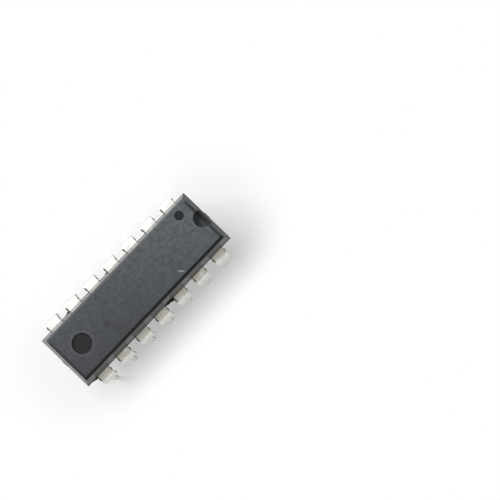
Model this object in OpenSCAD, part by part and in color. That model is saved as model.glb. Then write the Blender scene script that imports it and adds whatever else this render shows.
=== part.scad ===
// A dual in-line chip package with two rows of seven leads.
// Millimetres. The origin lies under the middle of the package, on the surface that the lead
// tips stand on. +X runs along the package towards its notched end and +Z points up.
// Lead 1 is beside the notch on the +Y side. The numbers run down that row and back up the other.

/* [Moulded body] */
// Distance from the last lead of a row to the end of the body, at the parting line
end_margin = 1.93; // [1.5:0.01:2.4]
// Height of the moulding, from underside to top face
body_height = 3.3; // [2.9:0.05:3.9]
// How far each side of the top face lies inside the parting line
top_inset = 0.45; // [0.2:0.05:0.6]
// How far each side of the underside lies inside the parting line
bottom_inset = 0.35; // [0.2:0.05:0.6]
// Radius along the edges of the top face and the underside
edge_radius = 0.2; // [0.05:0.01:0.25]

/* [Marks of the mould] */
// Diameter of the round dimple in the top face
dimple_diameter = 1.9; // [1:0.05:2.4]
// Distance from the plain end of the body to the middle of the dimple
dimple_from_end = 2.6; // [1.8:0.05:4]
// Depth of the dimple
dimple_depth = 0.12; // [0.05:0.01:0.3]
// Width of the sloping rim of the dimple
dimple_rim = 0.07; // [0.02:0.01:0.1]
// Diameter of the half-round notch in the +X end of the top face
notch_diameter = 1.8; // [1:0.05:2.4]
// Depth of the notch below the top face
notch_depth = 1; // [0.4:0.05:1.1]
// Diameter of the dot beside lead 1
dot_diameter = 0.9; // [0.5:0.05:1.2]
// Distance from the notched end of the body to the middle of the dot
dot_from_end = 1.8; // [1.5:0.05:2.2]
// Distance from the middle of the dot to the side of the body
dot_from_side = 1.35; // [1.15:0.05:1.5]
// Depth of the dot
dot_depth = 0.1; // [0.05:0.01:0.2]
// Diameter of the ejector mark in the underside
ejector_diameter = 3; // [1.5:0.1:3.4]
// Depth of the ejector mark
ejector_depth = 0.08; // [0.04:0.01:0.2]
// Width of the raised rim round the ejector mark
ejector_rim = 0.09; // [0.05:0.01:0.15]
// Height of the raised rim round the ejector mark
ejector_rim_height = 0.03; // [0.01:0.01:0.05]

/* [Leads] */
// Distance from one lead to the next
lead_spacing = 2.54; // [2.2:0.01:2.8]
// Distance between the two rows, where the leads turn down
row_spacing = 7.62; // [7:0.01:8.2]
// Flat length of a lead between the body and the bend
shoulder_length = 0.435; // [0.3:0.005:0.6]
// Thickness of the metal strip
strip = 0.25; // [0.2:0.01:0.3]
// Width of a lead where it leaves the body
shoulder_width = 1.5; // [1.2:0.05:1.7]
// Width of the cut stubs of the bar that joined the leads, just before the bend
dam_width = 0.2; // [0.1:0.01:0.28]
// How far the cut stubs stand out from the sides of a lead
dam_stub = 0.06; // [0.02:0.01:0.1]
// Radius at the foot of the wide part
shoulder_radius = 0.46; // [0.2:0.02:0.5]
// Inner radius of the bend
bend_radius = 0.2; // [0.15:0.01:0.3]
// Angle at which the legs lean outwards
splay = 3; // [0:0.5:12]
// Gap between the board and the underside of the body
standoff = 0.51; // [0.38:0.01:0.8]
// Length of the narrow part below the board's surface
tip_length = 3.3; // [2.9:0.05:3.8]
// Width of the narrow part
tip_width = 0.46; // [0.36:0.01:0.56]
// Radius of the inner corners where the wide part meets the narrow one
neck_radius = 0.12; // [0.05:0.01:0.2]
// Width at the very end of the tip
point_width = 0.22; // [0.15:0.01:0.3]
// Length over which the end of the tip narrows
point_length = 0.55; // [0.3:0.05:0.8]

/* [Lead frame inside the body] */
// Length of the wide root of a lead inside the body
root_length = 0.55; // [0.5:0.05:0.6]
// Radius of the notches that lock the root in the moulding
lock_radius = 0.18; // [0.1:0.01:0.2]
// Width of a lead's inner finger
finger_width = 0.35; // [0.25:0.01:0.38]
// Length of the fingers that end beside the plate's long edges
side_finger_length = 0.6; // [0.5:0.05:0.7]
// Gap between the fingers and the plate under the die
frame_gap = 0.25; // [0.2:0.01:0.3]
// Length of the plate under the die
pad_length = 3.4; // [2.8:0.1:4]
// How far the plate lies below the fingers
pad_downset = 0.25; // [0.1:0.01:0.4]
// Flat length of the tie bar before its ramp
tie_flat = 0.3; // [0.1:0.05:0.5]
// Length of the ramp in the tie bar
tie_ramp = 0.45; // [0.3:0.05:0.8]
// Width of the tie bars that hold the plate at both ends
tie_width = 0.7; // [0.5:0.05:0.8]
// How far the cut ends of the tie bars stand proud of the body
tie_stub = 0.05; // [0.02:0.01:0.1]

/* [Die and bond wires] */
// Side of the square die
die_side = 1.6; // [1.2:0.05:2]
// Thickness of the die
die_height = 0.3; // [0.2:0.01:0.4]
// Thickness of the layer that bonds the die to its plate
bond_layer = 0.03; // [0.02:0.01:0.06]
// Margin of the layer round the die
bond_margin = 0.08; // [0.04:0.01:0.15]
// Distance from the edge of the die to a bond
bond_inset = 0.12; // [0.08:0.01:0.2]
// Distance between neighbouring bonds on the die
bond_spacing = 0.35; // [0.2:0.01:0.4]
// Distance from the end of a finger to its bond
stitch_inset = 0.18; // [0.12:0.01:0.25]
// Diameter of a bond wire
wire_diameter = 0.03; // [0.025:0.005:0.05]
// Diameter of the ball at the die end of a wire
ball_diameter = 0.09; // [0.06:0.01:0.12]
// Height of the ball
ball_height = 0.02; // [0.01:0.005:0.03]
// Straight rise of a wire above the die
wire_rise = 0.13; // [0.08:0.01:0.2]
// Radius of the bend at the top of a wire
wire_bend = 0.07; // [0.05:0.01:0.1]

/* [Hidden] */
$fn = 64;
ROW = 7;
LEADS = 2 * ROW;
MIDDLE = (ROW + 1) / 2;
// Extra reach of a cut, so that it clears the face that it goes through
PAST = 0.5;

// Heights, from the lead tips up
seat_z = tip_length;
underside_z = seat_z + standoff;
strip_z = underside_z + body_height / 2;
top_z = underside_z + body_height;
strip_top_z = strip_z + strip / 2;
bend_z = strip_z - strip / 2 - bend_radius;
pad_z = strip_z - pad_downset;
pad_top_z = pad_z + strip / 2;
die_z = pad_top_z + bond_layer;
die_top_z = die_z + die_height;

// Lengths down a leg from the end of its bend: to the seat of the wide part, and to the point
leg_seat = (bend_z + bend_radius * sin(splay) - seat_z) / cos(splay);
leg_end = (bend_z + bend_radius * sin(splay)) / cos(splay);

// Plan of the frame, in the quarter with x and y above zero
bend_y = row_spacing / 2 - bend_radius - strip / 2;
half_width = bend_y - shoulder_length;
half_length = (MIDDLE - 1) * lead_spacing + end_margin;
root_y = half_width - root_length;
side_reach = root_y - side_finger_length;
side_tip = shoulder_width / 2 + finger_width;
end_reach = pad_length / 2 + frame_gap;
pad_width = 2 * (side_reach - frame_gap);
// Lanes of the fingers that end beside the tie bar, with even gaps up to the side fingers' tips
lane_gap = (side_reach - tie_width / 2 - 2 * finger_width) / 2;
lane_step = finger_width + lane_gap;

function unit(v) = v / norm(v);
function turned(v) = [-v.y, v.x];

// Place of lead i along the package, which row it stands in, and its column from the middle
function lead_x(i) = lead_spacing * (i <= ROW ? MIDDLE - i : i - ROW - MIDDLE);
function lead_row(i) = i <= ROW ? 1 : -1;
function column(i) = abs(i <= ROW ? MIDDLE - i : i - ROW - MIDDLE);
function end_sign(i) = lead_x(i) < 0 ? -1 : 1;

// Both edges of a band of width w along a path, with mitred corners
function band_edge(path, w) = [
    for (i = [0 : len(path) - 1])
        let (
            before = unit(path[max(i, 1)] - path[max(i, 1) - 1]),
            after = unit(path[min(i + 1, len(path) - 1)] - path[min(i, len(path) - 2)]),
            n = turned(before),
            m = turned(after)
        )
        path[i] + w * (n + m) / (1 + n * m)
];
function reversed(list) = [for (i = [len(list) - 1 : -1 : 0]) list[i]];
function band(path, w) = concat(band_edge(path, w / 2), reversed(band_edge(path, -w / 2)));

// Middle line of the finger in column c, from its root to the plate
function finger_path(c) =
    c == 0 ? [[0, root_y + finger_width], [0, side_reach]]
    : c == 1 ? [
        [lead_spacing, root_y + finger_width], [lead_spacing, root_y],
        [side_tip, side_reach + side_finger_length / 2], [side_tip, side_reach]
    ]
    : let (
        lane = side_reach - finger_width / 2 - (c - 2) * lane_step,
        slant = root_y - lane
    )
        [
            [c * lead_spacing, root_y + finger_width], [c * lead_spacing, root_y],
            [c * lead_spacing - slant, lane], [end_reach, lane]
        ];

// Bond of column c on the die: the first two columns use its long edge, the others its end edge
function die_bond_at(c) =
    let (edge = die_side / 2 - bond_inset)
    c < 2 ? [c * bond_spacing, edge] : [edge, (MIDDLE - c - 0.5) * bond_spacing];
// Bond of column c on its finger
function finger_bond_at(c) =
    let (path = finger_path(c), last = len(path) - 1)
    path[last] + stitch_inset * unit(path[last - 1] - path[last]);

// One half of the body's section: a trapezium of foot b, crown t and height h, with its
// upper corners rounded to radius r
module tapered_half(b, t, h, r) {
    lean = atan((b - t) / h);
    centre = [b - (h - r) * tan(lean) - r / cos(lean), h - r];
    touch = centre + r * [cos(lean), sin(lean)];
    polygon([
        [-b, 0], [b, 0], touch, [centre.x, h],
        [-centre.x, h], [-touch.x, touch.y]
    ]);
    for (s = [-1, 1]) translate([s * centre.x, centre.y]) circle(r);
}

// Section of the body between side walls 2 * half apart, with the land of the parting line
module body_section(half) {
    h = (body_height - strip) / 2;
    translate([0, strip / 2]) tapered_half(half, half - top_inset, h, edge_radius);
    mirror([0, 1]) translate([0, strip / 2]) tapered_half(half, half - bottom_inset, h, edge_radius);
    translate([-half, -strip / 2]) square([2 * half, strip]);
}

// The moulding before its marks: the long section and the cross section meet in mitred edges
module moulding() {
    translate([0, 0, strip_z])
        intersection() {
            rotate([90, 0, 0])
                translate([0, 0, -half_width - PAST])
                    linear_extrude(2 * (half_width + PAST)) body_section(half_length);
            rotate([90, 0, 90])
                translate([0, 0, -half_length - PAST])
                    linear_extrude(2 * (half_length + PAST)) body_section(half_width);
        }
}

module mould_marks() {
    translate([-half_length + dimple_from_end, 0, top_z]) {
        translate([0, 0, -dimple_depth])
            cylinder(h = dimple_depth + PAST, r = dimple_diameter / 2 - dimple_rim);
        translate([0, 0, -dimple_rim])
            cylinder(h = 2 * dimple_rim, r1 = dimple_diameter / 2 - dimple_rim,
                     r2 = dimple_diameter / 2 + dimple_rim);
    }
    translate([half_length - top_inset, 0, top_z - notch_depth])
        cylinder(h = notch_depth + PAST, d = notch_diameter);
    translate([half_length - dot_from_end, half_width - dot_from_side, top_z - dot_depth])
        cylinder(h = dot_depth + PAST, d = dot_diameter);
    translate([0, 0, underside_z - PAST])
        cylinder(h = PAST + ejector_depth, d = ejector_diameter);
}

module ejector_ring() {
    translate([0, 0, underside_z - ejector_rim_height])
        difference() {
            cylinder(h = 2 * ejector_rim_height, d = ejector_diameter + 2 * ejector_rim);
            translate([0, 0, -PAST]) cylinder(h = 2 * PAST, d = ejector_diameter);
        }
}

module body() {
    color("#54575c")
        difference() {
            union() {
                difference() {
                    moulding();
                    mould_marks();
                }
                ejector_ring();
            }
            for (i = [1 : LEADS]) {
                lead_flat(i);
                wire_shape(i);
            }
            pad_shape();
            die_bond_shape();
            die_shape();
        }
}

// Plan outline of a lead's flat part, in the quarter with x and y above zero
module flat_outline(c) {
    difference() {
        translate([c * lead_spacing - shoulder_width / 2, root_y])
            square([shoulder_width, bend_y - root_y]);
        for (s = [-1, 1])
            translate([c * lead_spacing + s * shoulder_width / 2, root_y + root_length / 2])
                circle(lock_radius);
    }
    translate([c * lead_spacing - shoulder_width / 2 - dam_stub, bend_y - dam_width])
        square([shoulder_width + 2 * dam_stub, dam_width]);
    polygon(band(finger_path(c), finger_width));
}

module lead_flat(i) {
    mirror([end_sign(i) < 0 ? 1 : 0, 0, 0])
        mirror([0, lead_row(i) < 0 ? 1 : 0, 0])
            translate([0, 0, strip_z - strip / 2])
                linear_extrude(strip) flat_outline(column(i));
}

// Side view of the bend and the leg on the +Y side, out to radius r from the middle of the bend:
// over the flat part, round the bend and down the leg, and reaching `behind` back from them
module leg_side(r, behind) {
    flat = shoulder_length / 2;
    translate([-flat - behind, -behind]) square([flat + behind, r + behind]);
    circle(r);
    rotate(splay) translate([-behind, -leg_end - PAST]) square([r + behind, leg_end + PAST]);
}

// Flat pattern of a leg, measured down from the end of the bend: the wide part with rounded
// feet, filleted necks and the narrow tip with its tapered point
module leg_outline() {
    above = 2 * (bend_radius + strip);
    w = shoulder_width / 2;
    t = tip_width / 2;
    translate([-w, -above]) square([2 * w, above + leg_seat - shoulder_radius]);
    translate([-w + shoulder_radius, 0]) square([2 * (w - shoulder_radius), leg_seat]);
    for (s = [-1, 1])
        translate([s * (w - shoulder_radius), leg_seat - shoulder_radius]) circle(shoulder_radius);
    difference() {
        translate([-t - neck_radius, leg_seat - neck_radius])
            square([2 * (t + neck_radius), 2 * neck_radius]);
        for (s = [-1, 1])
            translate([s * (t + neck_radius), leg_seat + neck_radius]) circle(neck_radius);
    }
    polygon([
        [-t, leg_seat - neck_radius], [t, leg_seat - neck_radius], [t, leg_end - point_length],
        [point_width / 2, leg_end], [-point_width / 2, leg_end], [-t, leg_end - point_length]
    ]);
}

// The bend and the leg of a lead, on the +Y side at x = 0: the bent strip, cut to its flat pattern
module formed_leg() {
    outer_radius = bend_radius + strip;
    translate([0, bend_y, bend_z])
        intersection() {
            translate([-shoulder_width / 2 - PAST, 0, 0])
                rotate([90, 0, 90])
                    linear_extrude(shoulder_width + 2 * PAST)
                        difference() {
                            leg_side(outer_radius, 0);
                            leg_side(bend_radius, outer_radius + PAST);
                        }
            rotate([splay - 90, 0, 0])
                translate([0, 0, -shoulder_length])
                    linear_extrude(shoulder_length + outer_radius + PAST) leg_outline();
        }
}

module lead(i) {
    color("#cfcfca") {
        lead_flat(i);
        translate([lead_x(i), 0, 0])
            mirror([0, lead_row(i) < 0 ? 1 : 0, 0]) formed_leg();
    }
}

// The plate under the die, with the two tie bars that reach the ends of the body
module pad_shape() {
    translate([-pad_length / 2, -pad_width / 2, pad_z - strip / 2])
        cube([pad_length, pad_width, strip]);
    ramp_start = pad_length / 2 + tie_flat;
    for (s = [0, 1])
        mirror([s, 0, 0])
            translate([0, tie_width / 2, 0])
                rotate([90, 0, 0])
                    linear_extrude(tie_width)
                        polygon(band([
                            [0, pad_z], [ramp_start, pad_z], [ramp_start + tie_ramp, strip_z],
                            [half_length + tie_stub, strip_z]
                        ], strip));
}

module die_pad() {
    color("#b87a4b") pad_shape();
}

module die_bond_shape() {
    side = die_side + 2 * bond_margin;
    translate([-side / 2, -side / 2, pad_top_z]) cube([side, side, bond_layer]);
}

module die_bond() {
    color("#a9a9a4") die_bond_shape();
}

module die_shape() {
    translate([-die_side / 2, -die_side / 2, die_z]) cube([die_side, die_side, die_height]);
}

module die() {
    color("#3d4658") die_shape();
}

// Middle line of a bond wire in its upright plane: it rises from the die, bends over and runs down
// to the finger. The bend turns by the angle at which the run leaves it at a tangent.
function wire_path(span) =
    let (
        reach = span - wire_bend,
        drop = strip_top_z - die_top_z - wire_rise,
        turn = acos(-wire_bend / norm([reach, drop])) - atan2(drop, reach),
        steps = 4
    )
    concat(
        [[0, die_top_z]],
        [
            for (k = [0 : steps])
                let (a = turn * k / steps)
                [wire_bend * (1 - cos(a)), die_top_z + wire_rise + wire_bend * sin(a)]
        ],
        [[span, strip_top_z]]
    );

// Rings along the wire, each as its middle, the arm towards its upper side and its radius. The
// first three make the ball, and the last lies flat on the finger.
function wire_rings(span) =
    let (
        path = wire_path(span),
        arms = band_edge(path, 1) - path,
        last = len(path) - 1,
        ball_top = path[0] + [0, ball_height],
        thin = wire_diameter / 2
    )
    concat(
        [
            [path[0], arms[0], ball_diameter / 2],
            [ball_top, arms[0], ball_diameter / 2],
            [ball_top, arms[0], thin]
        ],
        [for (k = [1 : last - 1]) [path[k], arms[k], thin]],
        [[path[last], [1 / arms[last].x, 0], thin]]
    );

// Tube through a list of rings that stand across the x and z plane
module tube(rings, sides) {
    last = len(rings) - 1;
    points = [
        for (ring = rings, k = [0 : sides - 1])
            let (a = 360 * k / sides, arm = ring[2] * cos(a) * ring[1])
            [ring[0].x + arm.x, ring[2] * sin(a), ring[0].y + arm.y]
    ];
    walls = [
        for (r = [0 : last - 1], k = [0 : sides - 1])
            let (a = r * sides, next = (k + 1) % sides)
            [a + k, a + next, a + sides + next, a + sides + k]
    ];
    polyhedron(points, concat(
        walls,
        [[for (k = [sides - 1 : -1 : 0]) k], [for (k = [0 : sides - 1]) last * sides + k]]
    ));
}

module wire_shape(i) {
    from = die_bond_at(column(i));
    to = finger_bond_at(column(i));
    mirror([end_sign(i) < 0 ? 1 : 0, 0, 0])
        mirror([0, lead_row(i) < 0 ? 1 : 0, 0])
            translate([from.x, from.y, 0])
                rotate([0, 0, atan2((to - from).y, (to - from).x)])
                    tube(wire_rings(norm(to - from)), 8);
}

module bond_wire(i) {
    color("#d9a93a") wire_shape(i);
}

body();
for (i = [1 : LEADS]) {
    lead(i);
    bond_wire(i);
}
die_pad();
die_bond();
die();
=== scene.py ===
import math

import bmesh
import bpy
from mathutils import Matrix, Vector


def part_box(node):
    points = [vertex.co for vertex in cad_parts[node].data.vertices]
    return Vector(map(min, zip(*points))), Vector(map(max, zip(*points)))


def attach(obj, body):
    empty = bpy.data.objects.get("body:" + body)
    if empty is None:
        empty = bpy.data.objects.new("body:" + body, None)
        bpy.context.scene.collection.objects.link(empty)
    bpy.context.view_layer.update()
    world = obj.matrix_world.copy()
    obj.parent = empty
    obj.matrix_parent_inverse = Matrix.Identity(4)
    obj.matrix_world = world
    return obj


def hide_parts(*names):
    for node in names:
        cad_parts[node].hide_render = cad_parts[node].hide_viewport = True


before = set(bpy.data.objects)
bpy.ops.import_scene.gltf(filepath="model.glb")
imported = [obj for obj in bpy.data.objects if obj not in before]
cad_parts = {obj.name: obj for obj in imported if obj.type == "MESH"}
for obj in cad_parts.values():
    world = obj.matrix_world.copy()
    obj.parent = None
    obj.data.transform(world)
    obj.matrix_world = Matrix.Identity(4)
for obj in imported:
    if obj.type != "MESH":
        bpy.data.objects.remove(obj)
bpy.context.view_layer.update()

# The plate under the die, with its tie bars. It is stamped from the same rolled copper alloy
# strip as the leads. The tie bars held it in the frame's rails, and were cut off after moulding,
# so that a bare end of each shows in an end wall of the body.
MM = 0.001
copper_new = (0.60, 0.27, 0.14, 1)
copper_dull = (0.34, 0.15, 0.085, 1)
copper_sheared = (0.25, 0.18, 0.12, 1)
rolling_line = 0.03 * MM
rolling_length = 1.5 * MM
tarnish_size = 0.6 * MM
shear_grain = 0.1 * MM
shear_depth = 0.004 * MM
cut_reach = 0.02 * MM


def put(tree, kind, inputs=None, **settings):
    """A shader node with its settings, fed by plain values or by other nodes' sockets."""
    node = tree.nodes.new("ShaderNode" + kind)
    for name, value in settings.items():
        setattr(node, name, value)
    for name, value in (inputs or {}).items():
        if isinstance(value, bpy.types.NodeSocket):
            tree.links.new(value, node.inputs[name])
        else:
            node.inputs[name].default_value = value
    return node


def calc(tree, operation, *terms):
    """The result of a sum, product or comparison of values or sockets."""
    return put(tree, "Math", dict(enumerate(terms)), operation=operation).outputs[0]


def times(tree, first, *others):
    """The product of masks and shares."""
    for other in others:
        first = calc(tree, "MULTIPLY", first, other)
    return first


def plus(tree, value, mask, amount):
    """A value that an amount is added to where a mask is 1."""
    return calc(tree, "ADD", value, times(tree, mask, amount))


def rise(tree, value, low, high):
    """0 where a value is at low, 1 where it is at high, and smooth between."""
    spread = {"Value": value, "From Min": low, "From Max": high}
    return put(tree, "MapRange", spread, interpolation_type="SMOOTHSTEP").outputs["Result"]


def between(tree, share, first, second):
    """A value that goes from the first to the second as the share goes from 0 to 1."""
    return put(tree, "Mix", {0: share, 2: first, 3: second}, data_type="FLOAT").outputs[0]


def coat(tree, colour, *layers):
    """A colour with tints laid over it in turn, each by its share where its mask is 1."""
    for mask, share, tint in layers:
        mix = {0: times(tree, mask, share), 6: colour, 7: tint}
        colour = put(tree, "Mix", mix, data_type="RGBA").outputs[2]
    return colour


def new_effect(name, sizes, results):
    """An empty shader group that takes a place and some sizes, and gives masks: its tree, and the
    sockets that stand for its inputs and outputs."""
    tree = bpy.data.node_groups.new(name, "ShaderNodeTree")
    tree.interface.new_socket("Place", in_out="INPUT", socket_type="NodeSocketVector")
    for label in sizes:
        socket = tree.interface.new_socket(label, in_out="INPUT", socket_type="NodeSocketFloat")
        socket.default_value = 1.0
    for label in results:
        tree.interface.new_socket(label, in_out="OUTPUT", socket_type="NodeSocketFloat")
    return tree, tree.nodes.new("NodeGroupInput").outputs, tree.nodes.new("NodeGroupOutput").inputs


def use_effect(tree, effect, **inputs):
    """An effect placed in a material, with that material's own values."""
    return put(tree, "Group", inputs, node_tree=effect).outputs


def axes(tree, vector):
    """The x, y and z of a place or a direction."""
    return put(tree, "SeparateXYZ", {0: vector}).outputs


def ways_faced(tree):
    """How far the surface faces along x, y and z."""
    return axes(tree, put(tree, "NewGeometry").outputs["Normal"])


def new_finish(name, metallic, roughness, colour):
    """A material with its node tree, its surface shader, and the place on the piece."""
    finish = bpy.data.materials.new(name)
    finish.use_nodes = True
    finish.diffuse_color = colour
    tree = finish.node_tree
    tree.nodes.clear()
    plain = {"Base Color": colour, "Metallic": metallic, "Roughness": roughness}
    shader = put(tree, "BsdfPrincipled", plain)
    out = put(tree, "OutputMaterial", {"Surface": shader.outputs[0]})
    out.is_active_output = True
    return finish, tree, shader, put(tree, "TexCoord").outputs["Object"]


def feed(tree, shader, **sockets):
    """Links masks and colours to the shader's sockets of the same names."""
    for name, socket in sockets.items():
        tree.links.new(socket, shader.inputs[name.replace("_", " ")])


def relief(tree, height, depth):
    """The normal of a surface whose height varies by that depth, in metres."""
    return put(tree, "Bump", {"Height": height, "Distance": depth, "Strength": 1.0}).outputs["Normal"]


def dress(node, finish):
    """Gives a CAD piece its finish."""
    for material_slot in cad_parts[node].material_slots:
        material_slot.material = finish


# Fine lines that the rolling mill leaves along a strip of metal
rolled_strip, takes, gives = new_effect("rolled_strip", ("Line", "Length"), ("Lines",))
along = calc(rolled_strip, "DIVIDE", 1, takes["Length"])
across = calc(rolled_strip, "DIVIDE", 1, takes["Line"])
stretch = put(rolled_strip, "CombineXYZ", {0: along, 1: across, 2: across}).outputs[0]
drawn_out = put(rolled_strip, "VectorMath", {0: takes["Place"], 1: stretch}, operation="MULTIPLY").outputs[0]
streaks = {"Vector": drawn_out, "Scale": 1.0, "Detail": 3.0, "Roughness": 0.6}
rolled_strip.links.new(put(rolled_strip, "TexNoise", streaks).outputs[0], gives["Lines"])

# Grains, soft patches and specks: each finish takes those that it needs, at its own sizes
mixed_skin, takes, gives = new_effect(
    "mixed_skin", ("Grain", "Patch", "Speck"), ("Grains", "Patches", "Specks"),
)
for size, result, detail, rough in (("Grain", "Grains", 2.0, 0.65), ("Patch", "Patches", 4.0, 0.55)):
    scale = calc(mixed_skin, "DIVIDE", 1, takes[size])
    noise = {"Vector": takes["Place"], "Scale": scale, "Detail": detail, "Roughness": rough}
    mixed_skin.links.new(put(mixed_skin, "TexNoise", noise).outputs[0], gives[result])
scale = calc(mixed_skin, "DIVIDE", 1, takes["Speck"])
cells = put(mixed_skin, "TexVoronoi", {"Vector": takes["Place"], "Scale": scale, "Randomness": 1.0}).outputs
chance = put(mixed_skin, "SeparateColor", {0: cells["Color"]}).outputs[0]
near = rise(mixed_skin, cells["Distance"], 0.22, 0.1)
mixed_skin.links.new(times(mixed_skin, near, rise(mixed_skin, chance, 0.6, 0.75)), gives["Specks"])

bare_copper, tree, shader, place = new_finish("bare_copper", 1.0, 0.4, copper_new)
lines = use_effect(tree, rolled_strip, Place=place, Line=rolling_line, Length=rolling_length)["Lines"]
patches = use_effect(tree, mixed_skin, Place=place, Patch=tarnish_size)["Patches"]
torn = use_effect(tree, mixed_skin, Place=place, Patch=shear_grain)["Patches"]
end_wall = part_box("body")[1].x
cut_end = rise(tree, calc(tree, "ABSOLUTE", axes(tree, place)[0]), end_wall - cut_reach, end_wall)
colour = coat(
    tree, copper_new,
    (rise(tree, patches, 0.4, 0.65), 1, copper_dull),
    (lines, 0.35, copper_dull),
    (cut_end, 1, copper_sheared),
)
feed(
    tree, shader, Base_Color=colour, Roughness=plus(tree, 0.3, patches, 0.25),
    Normal=relief(tree, between(tree, cut_end, lines, torn), shear_depth),
)
dress("die_pad", bare_copper)

# The layer that holds the die: paste full of silver flakes, spread on the plate and baked hard.
# It shows only as a thin grey margin round the die.
paste_grey = (0.42, 0.42, 0.40, 1)
paste_dark = (0.25, 0.25, 0.24, 1)
flake_bright = (0.72, 0.72, 0.70, 1)
flake = 0.012 * MM
flake_depth = 0.003 * MM
paste_patch = 0.2 * MM

baked_paste, tree, shader, place = new_finish("baked_paste", 0.3, 0.5, paste_grey)
skin = use_effect(tree, mixed_skin, Place=place, Grain=flake, Patch=paste_patch, Speck=3 * flake)
colour = coat(tree, paste_grey, (skin["Specks"], 1, flake_bright), (skin["Patches"], 0.3, paste_dark))
feed(
    tree, shader, Base_Color=colour, Roughness=plus(tree, 0.35, skin["Grains"], 0.3),
    Normal=relief(tree, skin["Grains"], flake_depth),
)
dress("die_bond", baked_paste)

# The die, sawn from a polished silicon wafer and placed face up in the paste. Its top carries
# plain blocks of circuit, with a row of aluminium pads along each edge for the wires.
silicon_dark = (0.055, 0.065, 0.09, 1)
circuit_violet = (0.10, 0.09, 0.15, 1)
circuit_green = (0.07, 0.13, 0.12, 1)
pad_aluminium = (0.75, 0.75, 0.74, 1)
circuit_block = 0.16 * MM
circuit_depth = 0.0008 * MM
pad_outer, pad_inner = 0.075 * MM, 0.165 * MM
pad_step = 0.175 * MM


def pad_row(tree, along):
    """A mask of pads that follow each other along an edge, each half a step long."""
    swing = calc(tree, "PINGPONG", calc(tree, "ADD", along, pad_step / 4), pad_step / 2)
    return calc(tree, "LESS_THAN", swing, pad_step / 4)


polished_die, tree, shader, place = new_finish("polished_die", 0.4, 0.16, silicon_dark)
spot = axes(tree, place)
die_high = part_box("die")[1]
layout = {"Vector": place, "Scale": 1 / circuit_block, "Randomness": 0.7}
blocks = put(tree, "TexVoronoi", layout, distance="CHEBYCHEV").outputs
shade = put(tree, "SeparateColor", {0: blocks["Color"]}).outputs[0]
from_middle = calc(tree, "ABSOLUTE", spot[0])
inset = calc(
    tree, "MINIMUM", calc(tree, "SUBTRACT", die_high.x, from_middle),
    calc(tree, "SUBTRACT", die_high.y, calc(tree, "ABSOLUTE", spot[1])),
)
in_strip = times(
    tree, calc(tree, "GREATER_THAN", inset, pad_outer), calc(tree, "LESS_THAN", inset, pad_inner),
)
end_row = calc(tree, "GREATER_THAN", from_middle, die_high.x - pad_inner)
in_step = between(tree, end_row, pad_row(tree, spot[0]), pad_row(tree, spot[1]))
on_top = calc(tree, "GREATER_THAN", ways_faced(tree)[2], 0.9)
bond_pads = times(tree, in_strip, in_step, on_top)
circuit = coat(
    tree, circuit_violet,
    (shade, 1, circuit_green),
    (rise(tree, blocks["Distance"], 0.5, 0.58), 1, silicon_dark),
)
feed(
    tree, shader, Base_Color=coat(tree, silicon_dark, (on_top, 1, circuit), (bond_pads, 1, pad_aluminium)),
    Metallic=plus(tree, 0.3, bond_pads, 0.7), Roughness=plus(tree, 0.45, on_top, -0.3),
    Normal=relief(tree, blocks["Distance"], circuit_depth),
)
dress("die", polished_die)

# The bond wires, drawn from pure gold. Each is welded to its pad as a ball, bent over in a low
# loop, and pressed onto the tip of its finger.
gold = (0.86, 0.58, 0.19, 1)
gold_shadow = (0.62, 0.36, 0.09, 1)
draw_grain = 0.01 * MM
draw_depth = 0.0006 * MM
draw_patch = 0.08 * MM
lead_count = 14

drawn_gold, tree, shader, place = new_finish("drawn_gold", 1.0, 0.25, gold)
skin = use_effect(tree, mixed_skin, Place=place, Grain=draw_grain, Patch=draw_patch)
feed(
    tree, shader, Base_Color=coat(tree, gold, (skin["Patches"], 1, gold_shadow)),
    Roughness=plus(tree, 0.15, skin["Grains"], 0.2), Normal=relief(tree, skin["Grains"], draw_depth),
)
for number in range(1, lead_count + 1):
    dress(f"bond_wire_{number}", drawn_gold)

# The body, moulded round the frame in dark epoxy with silica filler. The mould's halves are spark
# eroded, which gives the matt skin, and meet at the land that the leads leave by. Pins make its
# round marks. Three of its top edges carry a dark rim of painted shade, and its notched end wall is
# rougher and left without the flanks' painted sheen, as painted shade.
epoxy = (0.061, 0.0685, 0.0735, 1)
epoxy_warm = (0.057, 0.057, 0.062, 1)
epoxy_pale = (0.112, 0.123, 0.132, 1)
# The paler underside, whose colour also serves for the painted highlights on the lit top edge and round the
# dimple
epoxy_under = (0.120, 0.127, 0.138, 1)
epoxy_struck = (0.092, 0.100, 0.120, 1)
epoxy_lip = (0.19, 0.20, 0.21, 1)
epoxy_pit = (0.035, 0.037, 0.040, 1)
# The dark of the polished pin floors, also painted as shade in a ring on the dimple's wall
epoxy_polish_and_shade = (0.008, 0.009, 0.011, 1)
# A paler colour painted on the flanks as a sheen
epoxy_painted_sheen = (0.150, 0.146, 0.146, 1)
# Painted shade: the dark colour of the rim along three top edges
epoxy_painted_rim_shade = (0.014, 0.015, 0.016, 1)
resin_bleed = (0.042, 0.039, 0.028, 1)
resin_stain = (0.006, 0.006, 0.004, 1)
scuff_pale = (0.27, 0.28, 0.29, 1)
spark_pit = 0.11 * MM
spark_depth = 0.008 * MM
filler_patch = 1.6 * MM
filler_clump = 0.4 * MM
weld_gap = 0.0002 * MM
flatness = math.radians(0.3)
edge_softening = 0.02 * MM
crease_angle = math.radians(32)
broad_face = 0.08 * MM
border = 0.02 * MM
land_half = 0.125 * MM
bleed_height = 0.3 * MM
rim_width = 0.12 * MM
rim_depth = 0.34 * MM
mark_depth = 0.5 * MM
mark_margin = 0.1 * MM
floor_least = 0.06 * MM
floor_most = 0.2 * MM
dimple_x = -6.95 * MM
dimple_radius = 0.95 * MM
ejector_radius = 1.5 * MM
ring_blur = 0.08 * MM
web_half = 0.04 * MM
wall_blur = 0.01 * MM


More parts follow.
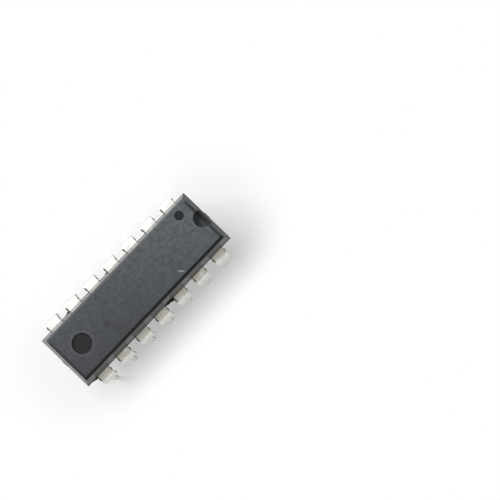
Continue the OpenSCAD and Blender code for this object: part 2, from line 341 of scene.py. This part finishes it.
def merged_copy(node):
    """A copy of a CAD piece's mesh, with its loose triangles joined into whole faces."""
    shape = bmesh.new()
    shape.from_mesh(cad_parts[node].data)
    bmesh.ops.remove_doubles(shape, verts=shape.verts, dist=weld_gap)
    bmesh.ops.dissolve_limit(shape, angle_limit=flatness, verts=shape.verts, edges=shape.edges)
    return shape


def creased(shape, angle):
    """The edges between two faces that meet at more than an angle."""
    return [edge for edge in shape.edges if len(edge.link_faces) == 2 and edge.calc_face_angle() > angle]


def soften(shape, edges, width):
    """Rounds off sharp edges by a width."""
    bmesh.ops.bevel(
        shape, geom=edges, offset=width, offset_type="OFFSET", segments=2, profile=0.5,
        affect="EDGES", material=-1, clamp_overlap=False,
    )


def finished(shape, name, finish, node):
    """Turns a shape into a finished piece that stands for a CAD node. A narrow band inside the
    border of each broad face keeps it flat right up to its rounded edges."""
    broad = [face for face in shape.faces if face.calc_area() > broad_face * face.calc_perimeter()]
    bmesh.ops.inset_individual(shape, faces=broad, thickness=border, depth=0.0, use_even_offset=True)
    bmesh.ops.dissolve_degenerate(shape, edges=shape.edges, dist=weld_gap)
    mesh = bpy.data.meshes.new(name)
    for face in shape.faces:
        face.smooth = True
    shape.to_mesh(mesh)
    shape.free()
    mesh.set_sharp_from_angle(angle=crease_angle)
    mesh.materials.append(finish)
    piece = bpy.data.objects.new(name, mesh)
    bpy.context.scene.collection.objects.link(piece)
    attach(piece, "root")
    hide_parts(node)


body_low, body_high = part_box("body")
land_z = (body_low.z + body_high.z) / 2
shape = merged_copy("body")
crown = [v.co for v in shape.verts if v.co.z > body_high.z - weld_gap]
crown_x = max(co.x for co in crown)
crown_y = max(co.y for co in crown)
mark_reach = crown_y - mark_margin
round_marks = [
    edge for edge in creased(shape, crease_angle)
    if all(v.co.z > body_high.z - mark_depth and abs(v.co.y) < mark_reach for v in edge.verts)
]
soften(shape, round_marks, edge_softening)

# Thin webs of resin that leaked out beside the leads and broke off ragged: outlines in millimetres
webs = (
    (
        (0.76, -3.00), (0.76, -3.13), (0.93, -3.11), (1.10, -3.18),
        (1.36, -3.16), (1.52, -3.25), (1.78, -3.27), (1.78, -3.00),
    ),
    ((-8.38, -3.00), (-8.38, -3.20), (-8.56, -3.18), (-8.76, -3.12), (-8.98, -3.07), (-8.98, -3.00)),
    ((-5.84, 3.00), (-5.84, 3.22), (-6.00, 3.18), (-6.16, 3.11), (-6.45, 3.07), (-6.45, 3.00)),
    ((-0.76, 3.00), (-0.76, 3.17), (-0.90, 3.13), (-1.10, 3.06), (-1.10, 3.00)),
)
for outline in webs:
    corners = [shape.verts.new((x * MM, y * MM, land_z - web_half)) for x, y in outline]
    raised = bmesh.ops.extrude_face_region(shape, geom=[shape.faces.new(corners)])["geom"]
    lifted = [part for part in raised if isinstance(part, bmesh.types.BMVert)]
    bmesh.ops.translate(shape, vec=(0, 0, 2 * web_half), verts=lifted)
    walls = {face for corner in corners + lifted for face in corner.link_faces}
    bmesh.ops.recalc_face_normals(shape, faces=list(walls))

moulding, tree, shader, place = new_finish("matt_moulding", 0.0, 0.62, epoxy)
shader.inputs["Specular IOR Level"].default_value = 0.22
spot = axes(tree, place)
facing = ways_faced(tree)
skin = use_effect(tree, mixed_skin, Place=place, Grain=spark_pit, Patch=filler_patch)
clumps = use_effect(tree, mixed_skin, Place=place, Grain=filler_clump)["Grains"]
from_middle = calc(tree, "ABSOLUTE", spot[0])
aside = calc(tree, "ABSOLUTE", spot[1])

# The top is bluer in patches towards the plain end, and paler towards the notch and leads 1 to 7
cool = times(tree, rise(tree, skin["Patches"], 0.3, 0.6), rise(tree, spot[0], 1.3 * body_low.x, 0))
towards_notch = rise(tree, spot[0], 0.5 * body_low.x, 1.2 * body_high.x)
paler = plus(tree, times(tree, 0.46, rise(tree, spot[1], body_low.y, body_high.y)), towards_notch, 0.85)

# The drafted flanks are glossier and get a paler colour as a painted sheen, which is left off the notched
# end wall as painted shade; and resin has bled in a brown line above and below the land
flank = rise(tree, calc(tree, "ABSOLUTE", facing[2]), 0.6, 0.35)
gloss_and_painted_sheen = times(tree, flank, plus(tree, 1.0, rise(tree, facing[0], 0.4, 0.7), -0.8))
off_land = calc(tree, "SUBTRACT", calc(tree, "ABSOLUTE", calc(tree, "SUBTRACT", spot[2], land_z)), land_half)
bleed = times(tree, rise(tree, off_land, bleed_height, 0.4 * bleed_height), flank)

# The top edges get a dark rim of painted shade, apart from the one beside leads 1 to 7, which gets a painted
# highlight
above_flank = calc(
    tree, "MAXIMUM", rise(tree, facing[2], 0.3, 0.5),
    rise(tree, spot[2], body_high.z - rim_depth, body_high.z - 0.6 * rim_depth),
)
painted_shade_sides = calc(
    tree, "MAXIMUM", rise(tree, spot[1], rim_width - crown_y, -crown_y),
    times(tree, 0.6, rise(tree, from_middle, crown_x - rim_width, crown_x)),
)
short_of_lit_edge = rise(tree, spot[1], crown_y + rim_width, crown_y - 4 * rim_width)
painted_shade_rim = times(tree, painted_shade_sides, short_of_lit_edge, above_flank)
lit_edge = times(tree, rise(tree, spot[1], crown_y - rim_width, crown_y), above_flank)

# The floors that the mould's pins leave, polished and a little below the skin
sunk = calc(
    tree, "MINIMUM",
    calc(tree, "SUBTRACT", body_high.z, spot[2]), calc(tree, "SUBTRACT", spot[2], body_low.z),
)
pin_floor = times(
    tree, rise(tree, sunk, floor_least / 3, floor_least), rise(tree, sunk, 1.5 * floor_most, floor_most),
    calc(tree, "LESS_THAN", aside, mark_reach), rise(tree, facing[2], 0.6, 0.9),
)
colour = coat(
    tree, epoxy_warm,
    (cool, 1, epoxy),
    (paler, 1, epoxy_pale),
    (rise(tree, clumps, 0.38, 0.64), 0.4, epoxy_pit),
    (rise(tree, skin["Grains"], 0.4, 0.75), 0.2, epoxy_pit),
    (rise(tree, facing[2], -0.5, -0.9), 1, epoxy_under),
    (gloss_and_painted_sheen, 0.8, epoxy_painted_sheen),
    (bleed, 0.8, resin_bleed),
    (painted_shade_rim, 1, epoxy_painted_rim_shade),
    (lit_edge, 0.6, epoxy_under),
    (pin_floor, 1, epoxy_polish_and_shade),
)

# The rims and the struck floor of the round marks: middle, inner and outer radius, share and colour. Round
# the dimple, the pale outer ring is a painted highlight and the dark inner ring is painted shade on its
# wall.
dimple = (dimple_x, 0, body_high.z)
ejector = (0, 0, body_low.z)
rings = (
    (dimple, dimple_radius + 0.06 * MM, dimple_radius + 0.28 * MM, 0.35, epoxy_under),
    (dimple, dimple_radius - 0.20 * MM, dimple_radius + 0.06 * MM, 1.0, epoxy_polish_and_shade),
    (ejector, -ring_blur, ejector_radius, 0.8, epoxy_struck),
    (ejector, ejector_radius - 0.02 * MM, ejector_radius + 0.14 * MM, 0.4, epoxy_lip),
)
for middle, inner, outer, share, tint in rings:
    apart = put(tree, "VectorMath", {0: place, 1: middle}, operation="DISTANCE").outputs["Value"]
    ring = times(
        tree, rise(tree, apart, inner, inner + ring_blur), rise(tree, apart, outer, outer - ring_blur),
    )
    colour = coat(tree, colour, (ring, share, tint))
web = rise(tree, aside, body_high.y, body_high.y + wall_blur)
colour = coat(tree, colour, (web, 1, resin_stain))

# Scuffs on the top and stains beside the leads: place and half sizes in millimetres, turn in
# degrees, colour and share
top_z = body_high.z / MM
stain_z = 5.50
marks = (
    ((4.2, -2.0, top_z), (0.46, 0.12, 0.03), -46, scuff_pale, 0.9),
    ((7.17, 0.9, top_z), (0.42, 0.20, 0.03), 20, scuff_pale, 0.18),
    ((-4.03, -0.46, top_z), (0.50, 0.40, 0.03), 0, epoxy_pit, 0.6),
    ((1.43, -3.10, stain_z), (0.72, 0.36, 0.85), 0, resin_stain, 1.0),
    ((-6.25, 3.10, stain_z), (0.36, 0.26, 0.60), 0, resin_stain, 0.8),
)
# The rim of painted shade and the stains beside the leads are also made rougher
shade_rim_and_stains = painted_shade_rim
for (x, y, z), halves, turn, tint, share in marks:
    turned = {"Vector": place, "Location": (x * MM, y * MM, z * MM), "Rotation": (0, 0, math.radians(turn))}
    local = axes(tree, put(tree, "Mapping", turned, vector_type="TEXTURE").outputs[0])
    mark = rise(tree, skin["Grains"], 0.1, 0.45)
    for k, half in enumerate(halves):
        mark = times(tree, mark, rise(tree, calc(tree, "ABSOLUTE", local[k]), half * MM, 0.3 * half * MM))
    colour = coat(tree, colour, (mark, share, tint))
    if tint == resin_stain:
        shade_rim_and_stains = calc(tree, "MAXIMUM", shade_rim_and_stains, times(tree, mark, share))

roughness = 0.55
for mask, amount in ((skin["Grains"], 0.2), (gloss_and_painted_sheen, -0.33), (pin_floor, -0.25), (bleed, 0.25), (shade_rim_and_stains, 0.3)):
    roughness = plus(tree, roughness, mask, amount)
pits = times(tree, skin["Grains"], plus(tree, 1.0, pin_floor, -0.8))
feed(tree, shader, Base_Color=colour, Roughness=roughness, Normal=relief(tree, pits, spark_depth))
finished(shape, "moulded_body", moulding, "body")

# The fourteen leads, stamped from the strip, tinned once the body is moulded, then cut apart and
# bent down. The tin is dull, and the upward flats of leads 8 to 14 are painted greyer as the shade
# that the body casts on them. Sheared sides and the torn ends of the dam bars are darker, and the
# fingers inside the body are bare copper.
tin = (0.74, 0.735, 0.71, 1)
# The darker tin painted as shade on the upward flats of leads 8 to 14
tin_painted_shade = (0.61, 0.608, 0.57, 1)
tin_grey = (0.44, 0.43, 0.38, 1)
tin_shear = (0.12, 0.11, 0.09, 1)
tin_crystal = 0.7 * MM
tin_speck = 0.2 * MM
tin_depth = 0.003 * MM
stub_length = 0.06 * MM
stub_end = 0.56 * MM
burr_width = 0.07 * MM
burr_blur = 0.02 * MM
row_blur = 1.0 * MM
lead_rounding = 0.022 * MM
lead_crease = math.radians(30)

dull_tin, tree, shader, place = new_finish("dull_tin", 1.0, 0.38, tin)
spot = axes(tree, place)
facing = ways_faced(tree)
lines = use_effect(tree, rolled_strip, Place=place, Line=rolling_line, Length=rolling_length)["Lines"]
skin = use_effect(tree, mixed_skin, Place=place, Patch=tin_crystal, Speck=tin_speck)
aside = calc(tree, "ABSOLUTE", spot[1])
# Painted shade: the upward flats of leads 8 to 14, which the body shades
painted_shade_row = times(tree, rise(tree, facing[2], 0.8, 0.98), rise(tree, spot[1], row_blur, -row_blur))
lead_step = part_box("lead_1")[1].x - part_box("lead_2")[1].x
stub_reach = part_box("lead_1")[1].x - 3 * lead_step
from_middle = calc(tree, "WRAP", spot[0], lead_step / 2, -lead_step / 2)
beside = calc(tree, "MAXIMUM", from_middle, calc(tree, "SUBTRACT", burr_width, from_middle))
torn_bar = times(
    tree, rise(tree, beside, stub_reach - 2.2 * stub_length, stub_reach - 1.4 * stub_length),
    rise(tree, aside, body_high.y + stub_end + burr_blur, body_high.y + stub_end),
)
colour = coat(
    tree, tin,
    (painted_shade_row, 1, tin_painted_shade),
    (rise(tree, skin["Patches"], 0.4, 0.62), 0.3, tin_grey),
    (times(tree, painted_shade_row, rise(tree, skin["Patches"], 0.25, 0.5)), 1, tin_grey),
    (lines, 0.25, tin_grey),
    (skin["Specks"], 0.5, tin_shear),
    (rise(tree, calc(tree, "ABSOLUTE", facing[0]), 0.55, 0.9), 1, tin_grey),
    (torn_bar, 1, tin_shear),
    (rise(tree, aside, body_high.y + wall_blur, body_high.y - wall_blur), 1, copper_dull),
)
feed(
    tree, shader, Base_Color=colour, Roughness=plus(tree, 0.42, skin["Patches"], 0.25),
    Normal=relief(tree, plus(tree, skin["Patches"], lines, 0.5), tin_depth),
)
for number in range(1, lead_count + 1):
    shape = merged_copy(f"lead_{number}")
    soften(shape, creased(shape, lead_crease), lead_rounding)
    finished(shape, f"formed_lead_{number}", dull_tin, f"lead_{number}")

# The plain white table that the tips stand on. It carries the soft shadow of the leads, and runs
# on far enough to meet the white behind it.
white = (1, 1, 1, 1)
table_white = (0.97, 0.97, 0.97, 1)
table_grey = (0.9, 0.9, 0.9, 1)
table_cloud = 2.5 * MM
table_radius = 1.2
table_corners = 64
glow_near = 0.28
glow_far = 1.0
glow_from = 3.3 * MM
glow_full = 8.0 * MM


def in_view(tree):
    """1 for what the camera sees, straight or in metal or glass, and 0 for light that falls on things."""
    path = put(tree, "LightPath").outputs
    mirrored = calc(tree, "MAXIMUM", path["Is Glossy Ray"], path["Is Transmission Ray"])
    return calc(tree, "MAXIMUM", path["Is Camera Ray"], mirrored)


shape = bmesh.new()
bmesh.ops.create_circle(shape, cap_ends=True, segments=table_corners, radius=table_radius)
mesh = bpy.data.meshes.new("table")
shape.to_mesh(mesh)
shape.free()
table = bpy.data.objects.new("table", mesh)
bpy.context.scene.collection.objects.link(table)
table_paper, tree, shader, place = new_finish("table_paper", 0.0, 0.9, table_white)
spot = axes(tree, place)
shader.inputs["Specular IOR Level"].default_value = 0.0
cloud = put(tree, "TexNoise", {"Vector": place, "Scale": 1 / table_cloud, "Detail": 3.0}).outputs[0]
feed(tree, shader, Base_Color=coat(tree, table_white, (cloud, 0.04, table_grey)))
past_end = calc(tree, "MAXIMUM", calc(tree, "SUBTRACT", calc(tree, "ABSOLUTE", spot[0]), body_high.x), 0.0)
off_body = put(tree, "CombineXYZ", {0: past_end, 1: spot[1]}).outputs[0]
away = put(tree, "VectorMath", {0: off_body}, operation="LENGTH").outputs["Value"]
table_glow = between(tree, rise(tree, away, glow_from, glow_full), glow_near, glow_far)
glow_share = times(tree, in_view(tree), table_glow)
glow = put(tree, "Emission", {"Color": white, "Strength": 1.0})
lit = put(tree, "MixShader", {0: glow_share, 1: shader.outputs[0], 2: glow.outputs[0]})
clear = put(tree, "BsdfTransparent")
from_below = put(tree, "NewGeometry").outputs["Backfacing"]
lit = put(tree, "MixShader", {0: from_below, 1: lit.outputs[0], 2: clear.outputs[0]})
out = next(node for node in tree.nodes if node.type == "OUTPUT_MATERIAL")
tree.links.new(lit.outputs[0], out.inputs["Surface"])
mesh.materials.append(table_paper)

# Plain soft studio light: a white room that fills every side, and one wide panel on the side of
# leads 1 to 7, towards the plain end.
room_fill = 0.36
panel_from = Vector((-0.10, 0.29, 0.27))
panel_size = 0.34
panel_power = 1.85

world = bpy.data.worlds.new("white_room")
bpy.context.scene.world = world
world.use_nodes = True
tree = world.node_tree
tree.nodes.clear()
room = put(tree, "Background", {"Color": white, "Strength": between(tree, in_view(tree), room_fill, 1.0)})
put(tree, "OutputWorld", {"Surface": room.outputs[0]})

lamp = bpy.data.lights.new("soft_panel", "AREA")
lamp.shape = "SQUARE"
lamp.size = panel_size
lamp.energy = panel_power
panel = bpy.data.objects.new("soft_panel", lamp)
panel.location = panel_from
panel.rotation_euler = (-panel_from).to_track_quat("-Z", "Y").to_euler()
bpy.context.scene.collection.objects.link(panel)

# The camera, nearly straight above the chip, turned so that the notched end points up and to the
# right. The photograph is 500 pixels wide and high.
picture = 500
focal_pixels = 1648
sensor = 36.0
camera_at = Vector((8.0, -15.5, 158.46)) * MM
look_at = Vector((10.06, -4.76, 0)) * MM
picture_up = Vector((0.72249, 0.68910, 0.05610))

back = (camera_at - look_at).normalized()
right = picture_up.cross(back).normalized()
up = back.cross(right)
lens = bpy.data.cameras.new("camera")
lens.sensor_width = sensor
lens.lens = focal_pixels / picture * sensor
lens.clip_start = 0.001
lens.clip_end = 10
camera = bpy.data.objects.new("camera", lens)
camera.matrix_world = Matrix.Translation(camera_at) @ Matrix((right, up, back)).transposed().to_4x4()
bpy.context.scene.collection.objects.link(camera)
bpy.context.scene.camera = camera

bpy.context.scene.view_settings.view_transform = "Standard"
